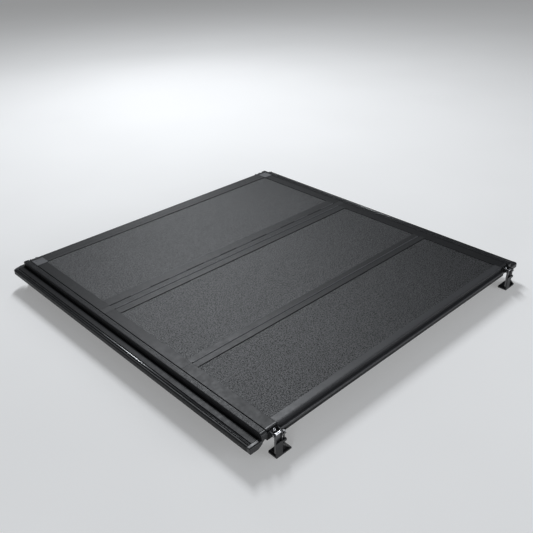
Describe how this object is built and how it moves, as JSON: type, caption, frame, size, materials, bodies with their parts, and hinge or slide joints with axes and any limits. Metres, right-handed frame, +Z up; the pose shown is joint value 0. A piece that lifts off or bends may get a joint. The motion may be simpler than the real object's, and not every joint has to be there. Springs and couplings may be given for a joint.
{
  "type": "tonneau cover",
  "caption": "Hard folding pickup bed cover with textured panels in hollow frames, double front hinge, fixed side rails and swing-down screw clamps at the corners.",
  "frame": {"origin": "on the plane of the clamp feet, midway between the outer faces of the side rails and midway between the foremost and rearmost clamp faces", "axes": "+X across the truck to its right side, +Y towards the cab, +Z up out of the bed"},
  "size_m": [1.754, 1.756, 0.123],
  "materials": {
    "textured_skin": "satin",
    "black_extrusion": "satin",
    "rail_extrusion": "satin",
    "core_board": "matte",
    "hinge_steel": "satin",
    "soft_rubber": "matte",
    "gloss_seal": "gloss",
    "black_plastic": "satin",
    "chrome_hardware": "polished",
    "black_steel": "satin",
    "clamp_steel": "satin"
  },
  "bodies": {
    "fixed_frame": {"bulkhead_seal": "soft_rubber", "clamp_barrels": "chrome_hardware", "clamp_bolts": "chrome_hardware", "clamp_bracket_front_left": "black_steel", "clamp_bracket_front_right": "black_steel", "clamp_bracket_rear_left": "black_steel", "clamp_bracket_rear_right": "black_steel", "corner_cap_left": "black_plastic", "corner_cap_right": "black_plastic", "corner_cap_screws": "chrome_hardware", "front_core": "core_board", "front_header": "black_extrusion", "front_hinge_member": "black_extrusion", "front_seal_strips": "soft_rubber", "front_side_left": "black_extrusion", "front_side_right": "black_extrusion", "front_skin": "textured_skin", "hinge_a_leaf_front": "hinge_steel", "hinge_a_pin": "hinge_steel", "rail_bead_seals": "gloss_seal", "rail_cap_front_left": "black_plastic", "rail_cap_front_right": "black_plastic", "rail_cap_rear_left": "black_plastic", "rail_cap_rear_right": "black_plastic", "rail_left": "rail_extrusion", "rail_right": "rail_extrusion"},
    "hinge_spacer_bar": {"hinge_spacer": "black_extrusion", "spacer_leaves": "hinge_steel", "hinge_b_pin": "hinge_steel"},
    "middle_panel": {"middle_side_left": "black_extrusion", "middle_side_right": "black_extrusion", "middle_front_member": "black_extrusion", "middle_rear_member": "black_extrusion", "middle_skin": "textured_skin", "middle_core": "core_board", "middle_seal_strips": "soft_rubber", "middle_leaves": "hinge_steel", "hinge_c_pin": "hinge_steel"},
    "rear_panel": {"rear_side_left": "black_extrusion", "rear_side_right": "black_extrusion", "rear_front_member": "black_extrusion", "rear_tail_member": "black_extrusion", "rear_skin": "textured_skin", "rear_core": "core_board", "rear_seal_strips": "soft_rubber", "rear_end_plugs": "black_plastic", "tailgate_seal": "soft_rubber", "hinge_c_leaf_rear": "hinge_steel"},
    "arm_rear_left": {"clamp_arm_rear_left": "clamp_steel"},
    "jaw_rear_left": {"clamp_jaw_rear_left": "clamp_steel"},
    "screw_rear_left": {"clamp_screw_rear_left": "black_steel"},
    "arm_rear_right": {"clamp_arm_rear_right": "clamp_steel"},
    "jaw_rear_right": {"clamp_jaw_rear_right": "clamp_steel"},
    "screw_rear_right": {"clamp_screw_rear_right": "black_steel"},
    "arm_front_left": {"clamp_arm_front_left": "clamp_steel"},
    "jaw_front_left": {"clamp_jaw_front_left": "clamp_steel"},
    "screw_front_left": {"clamp_screw_front_left": "black_steel"},
    "arm_front_right": {"clamp_arm_front_right": "clamp_steel"},
    "jaw_front_right": {"clamp_jaw_front_right": "clamp_steel"},
    "screw_front_right": {"clamp_screw_front_right": "black_steel"}
  },
  "joints": [
    {"name": "fold_front", "type": "hinge", "parent": "fixed_frame", "child": "hinge_spacer_bar", "pos_m": [0, 0.2005, 0.1204], "axis": [-1, 0, 0], "range_deg": [0, 90]},
    {"name": "fold_middle", "type": "hinge", "parent": "hinge_spacer_bar", "child": "middle_panel", "pos_m": [0, 0.1605, 0.1204], "axis": [-1, 0, 0], "range_deg": [0, 90]},
    {"name": "fold_rear", "type": "hinge", "parent": "middle_panel", "child": "rear_panel", "pos_m": [0, -0.378, 0.1204], "axis": [-1, 0, 0], "range_deg": [0, 180]},
    {"name": "swing_rear_left", "type": "hinge", "parent": "fixed_frame", "child": "arm_rear_left", "pos_m": [-0.761, -0.867, 0.1], "axis": [-1, 0, 0], "range_deg": [0, 85]},
    {"name": "grip_rear_left", "type": "slide", "parent": "arm_rear_left", "child": "jaw_rear_left", "axis": [0, 0, -1], "range_m": [0, 0.012]},
    {"name": "screw_turn_rear_left", "type": "hinge", "parent": "arm_rear_left", "child": "screw_rear_left", "pos_m": [-0.735, -0.871, 0.09], "axis": [0, 0, 1], "range_deg": [0, 2881]},
    {"name": "swing_rear_right", "type": "hinge", "parent": "fixed_frame", "child": "arm_rear_right", "pos_m": [0.774, -0.867, 0.1], "axis": [-1, 0, 0], "range_deg": [0, 85]},
    {"name": "grip_rear_right", "type": "slide", "parent": "arm_rear_right", "child": "jaw_rear_right", "axis": [0, 0, -1], "range_m": [0, 0.012]},
    {"name": "screw_turn_rear_right", "type": "hinge", "parent": "arm_rear_right", "child": "screw_rear_right", "pos_m": [0.8, -0.871, 0.09], "axis": [0, 0, 1], "range_deg": [0, 2881]},
    {"name": "swing_front_left", "type": "hinge", "parent": "fixed_frame", "child": "arm_front_left", "pos_m": [-0.761, 0.867, 0.1], "axis": [1, 0, 0], "range_deg": [0, 85]},
    {"name": "grip_front_left", "type": "slide", "parent": "arm_front_left", "child": "jaw_front_left", "axis": [0, 0, -1], "range_m": [0, 0.012]},
    {"name": "screw_turn_front_left", "type": "hinge", "parent": "arm_front_left", "child": "screw_front_left", "pos_m": [-0.735, 0.871, 0.09], "axis": [0, 0, 1], "range_deg": [0, 2881]},
    {"name": "swing_front_right", "type": "hinge", "parent": "fixed_frame", "child": "arm_front_right", "pos_m": [0.774, 0.867, 0.1], "axis": [1, 0, 0], "range_deg": [0, 85]},
    {"name": "grip_front_right", "type": "slide", "parent": "arm_front_right", "child": "jaw_front_right", "axis": [0, 0, -1], "range_m": [0, 0.012]},
    {"name": "screw_turn_front_right", "type": "hinge", "parent": "arm_front_right", "child": "screw_front_right", "pos_m": [0.8, 0.871, 0.09], "axis": [0, 0, 1], "range_deg": [0, 2881]}
  ],
  "couplings": [
    {"joint": "screw_turn_rear_left", "follows": "grip_rear_left", "rad_per_m": 4188.8},
    {"joint": "screw_turn_rear_right", "follows": "grip_rear_right", "rad_per_m": 4188.8},
    {"joint": "screw_turn_front_left", "follows": "grip_front_left", "rad_per_m": 4188.8},
    {"joint": "screw_turn_front_right", "follows": "grip_front_right", "rad_per_m": 4188.8}
  ]
}
